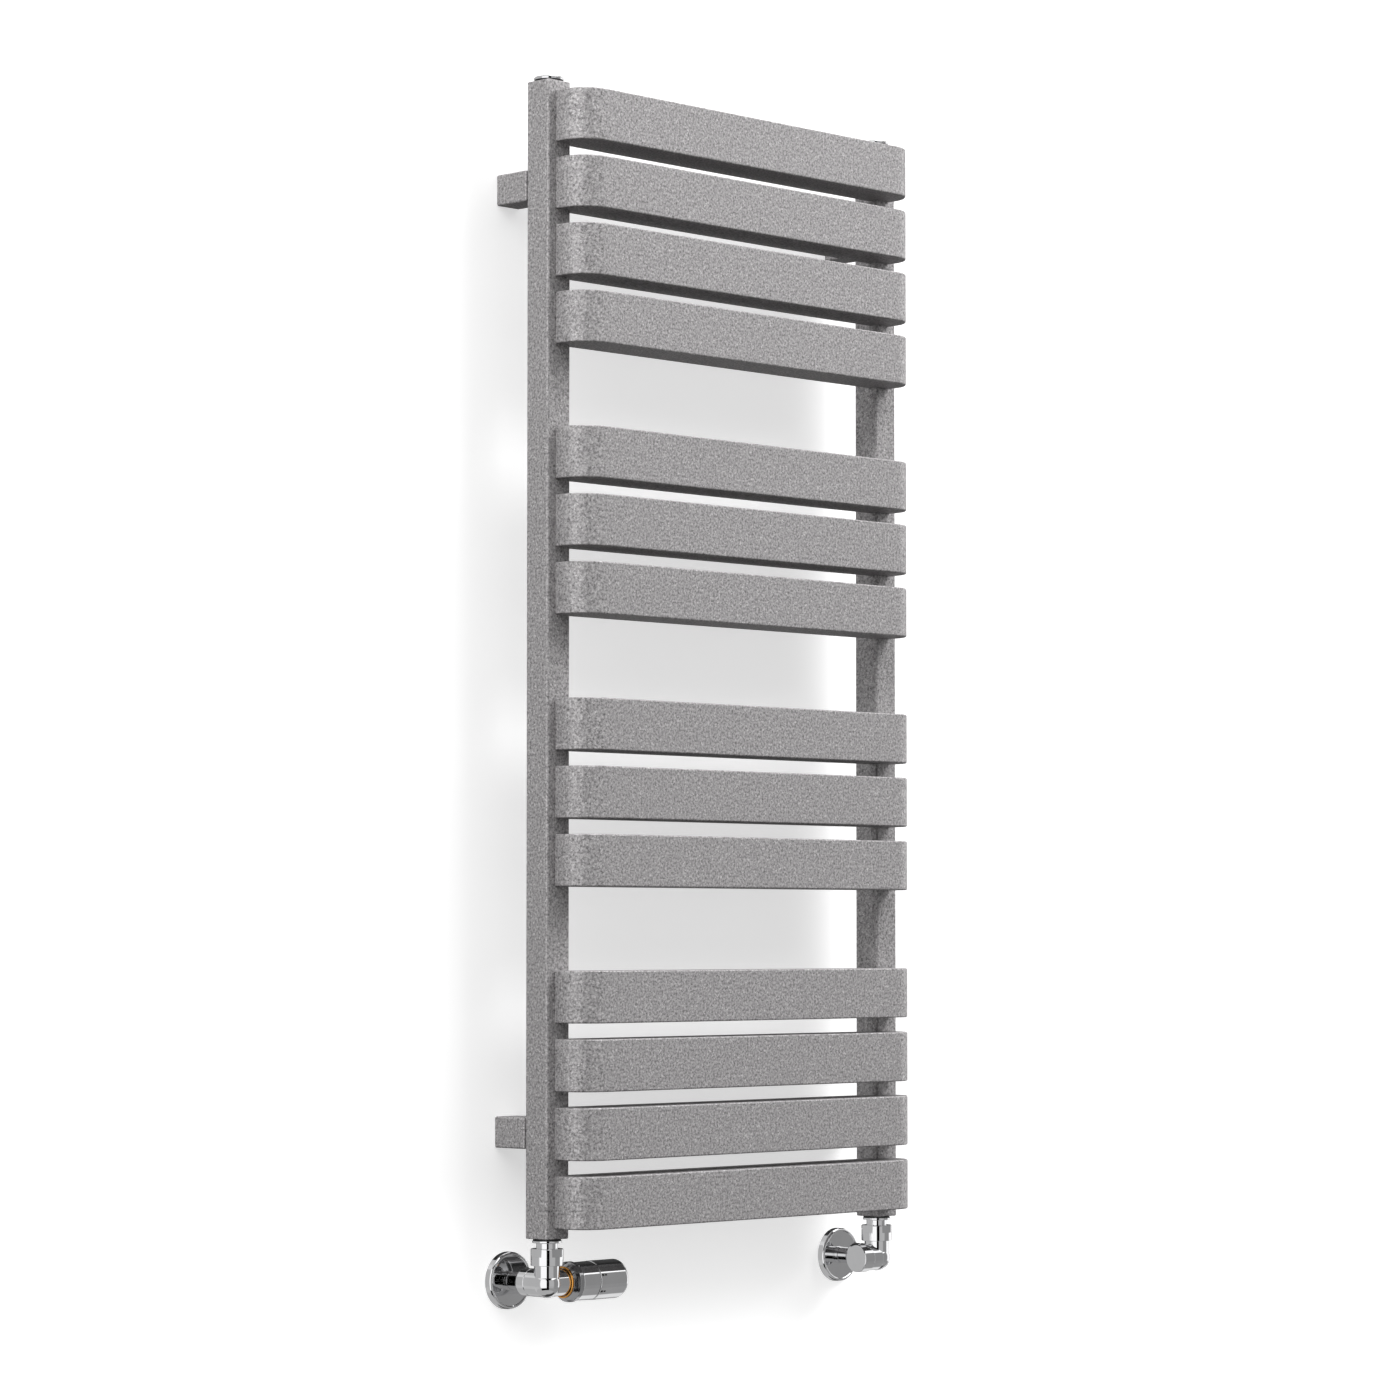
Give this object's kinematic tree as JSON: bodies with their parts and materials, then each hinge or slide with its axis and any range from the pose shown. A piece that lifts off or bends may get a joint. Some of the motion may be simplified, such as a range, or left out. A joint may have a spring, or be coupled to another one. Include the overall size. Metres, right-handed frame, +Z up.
{
  "type": "towel radiator with valves",
  "caption": "Wall-hung ladder radiator with wide hollow bars on square collectors, an angled thermostatic valve and a lockshield valve.",
  "frame": {"origin": "on the wall plane, midway between the two collectors, level with their lower ends", "axes": "+Z up, +Y into the wall, +X to the right as seen from the room"},
  "size_m": [0.525, 0.112, 1.1844],
  "materials": {
    "coat": "silver-grey speckled powder coat, satin",
    "chrome": "polished chrome plate",
    "steel": "zinc-plated steel",
    "brass": "turned brass",
    "copper": "copper-coloured polished ring",
    "rubber": "black sealing rubber",
    "wax_cell": "satin metal can"
  },
  "bodies": {
    "radiator": {"collector_left": "coat", "collector_right": "coat", "collector_cap_top_left": "coat", "collector_cap_top_right": "coat", "collector_cap_bottom_left": "coat", "collector_cap_bottom_right": "coat", "bar_01": "coat", "bar_02": "coat", "bar_03": "coat", "bar_04": "coat", "bar_05": "coat", "bar_06": "coat", "bar_07": "coat", "bar_08": "coat", "bar_09": "coat", "bar_10": "coat", "bar_11": "coat", "bar_12": "coat", "bar_13": "coat", "bar_14": "coat", "bracket_sleeve_upper_left": "coat", "bracket_sleeve_upper_right": "coat", "bracket_sleeve_lower_left": "coat", "bracket_sleeve_lower_right": "coat", "bracket_base_upper_left": "steel", "bracket_base_upper_right": "steel", "bracket_base_lower_left": "steel", "bracket_base_lower_right": "steel", "bracket_screw_upper_left": "steel", "bracket_screw_upper_right": "steel", "bracket_screw_lower_left": "steel", "bracket_screw_lower_right": "steel", "blank_plug": "chrome", "blank_plug_seal": "rubber", "vent_plug": "chrome", "vent_plug_seal": "rubber", "tail_seal_left": "rubber", "tail_left": "chrome", "union_nut_left": "chrome", "valve_body_left": "chrome", "pipe_nut_left": "chrome", "pipe_sleeve_left": "chrome", "rosette_left": "chrome", "tail_seal_right": "rubber", "tail_right": "chrome", "union_nut_right": "chrome", "valve_body_right": "chrome", "pipe_nut_right": "chrome", "pipe_sleeve_right": "chrome", "rosette_right": "chrome", "valve_gland": "brass", "head_ring": "copper", "head_collar": "chrome", "head_base": "chrome"},
    "handle": {"head_handle": "chrome"},
    "spindle": {"head_sensor": "wax_cell", "valve_spindle": "steel"},
    "cap": {"lockshield_cap": "chrome"},
    "lockshield": {"lockshield_spindle": "brass"},
    "vent": {"vent_screw": "brass"}
  },
  "joints": [
    {"name": "handle_turn", "type": "hinge", "parent": "radiator", "child": "handle", "pos_m": [-0.235, -0.057, -0.0425], "axis": [1, 0, 0], "range_deg": [-150, 150]},
    {"name": "spindle_travel", "type": "slide", "parent": "radiator", "child": "spindle", "axis": [1, 0, 0], "range_m": [-0.0012, 0.0012]},
    {"name": "cap_pull", "type": "slide", "parent": "radiator", "child": "cap", "axis": [-1, 0, 0], "range_m": [0, 0.02]},
    {"name": "lockshield_turn", "type": "hinge", "parent": "radiator", "child": "lockshield", "pos_m": [0.235, -0.057, -0.0425], "axis": [-1, 0, 0], "range_deg": [-720, 720]},
    {"name": "vent_turn", "type": "hinge", "parent": "radiator", "child": "vent", "pos_m": [0.235, -0.057, 1.11], "axis": [0, 0, 1], "range_deg": [0, 360]}
  ],
  "couplings": [
    {"joint": "spindle_travel", "follows": "handle_turn", "m_per_rad": 0.000458}
  ]
}
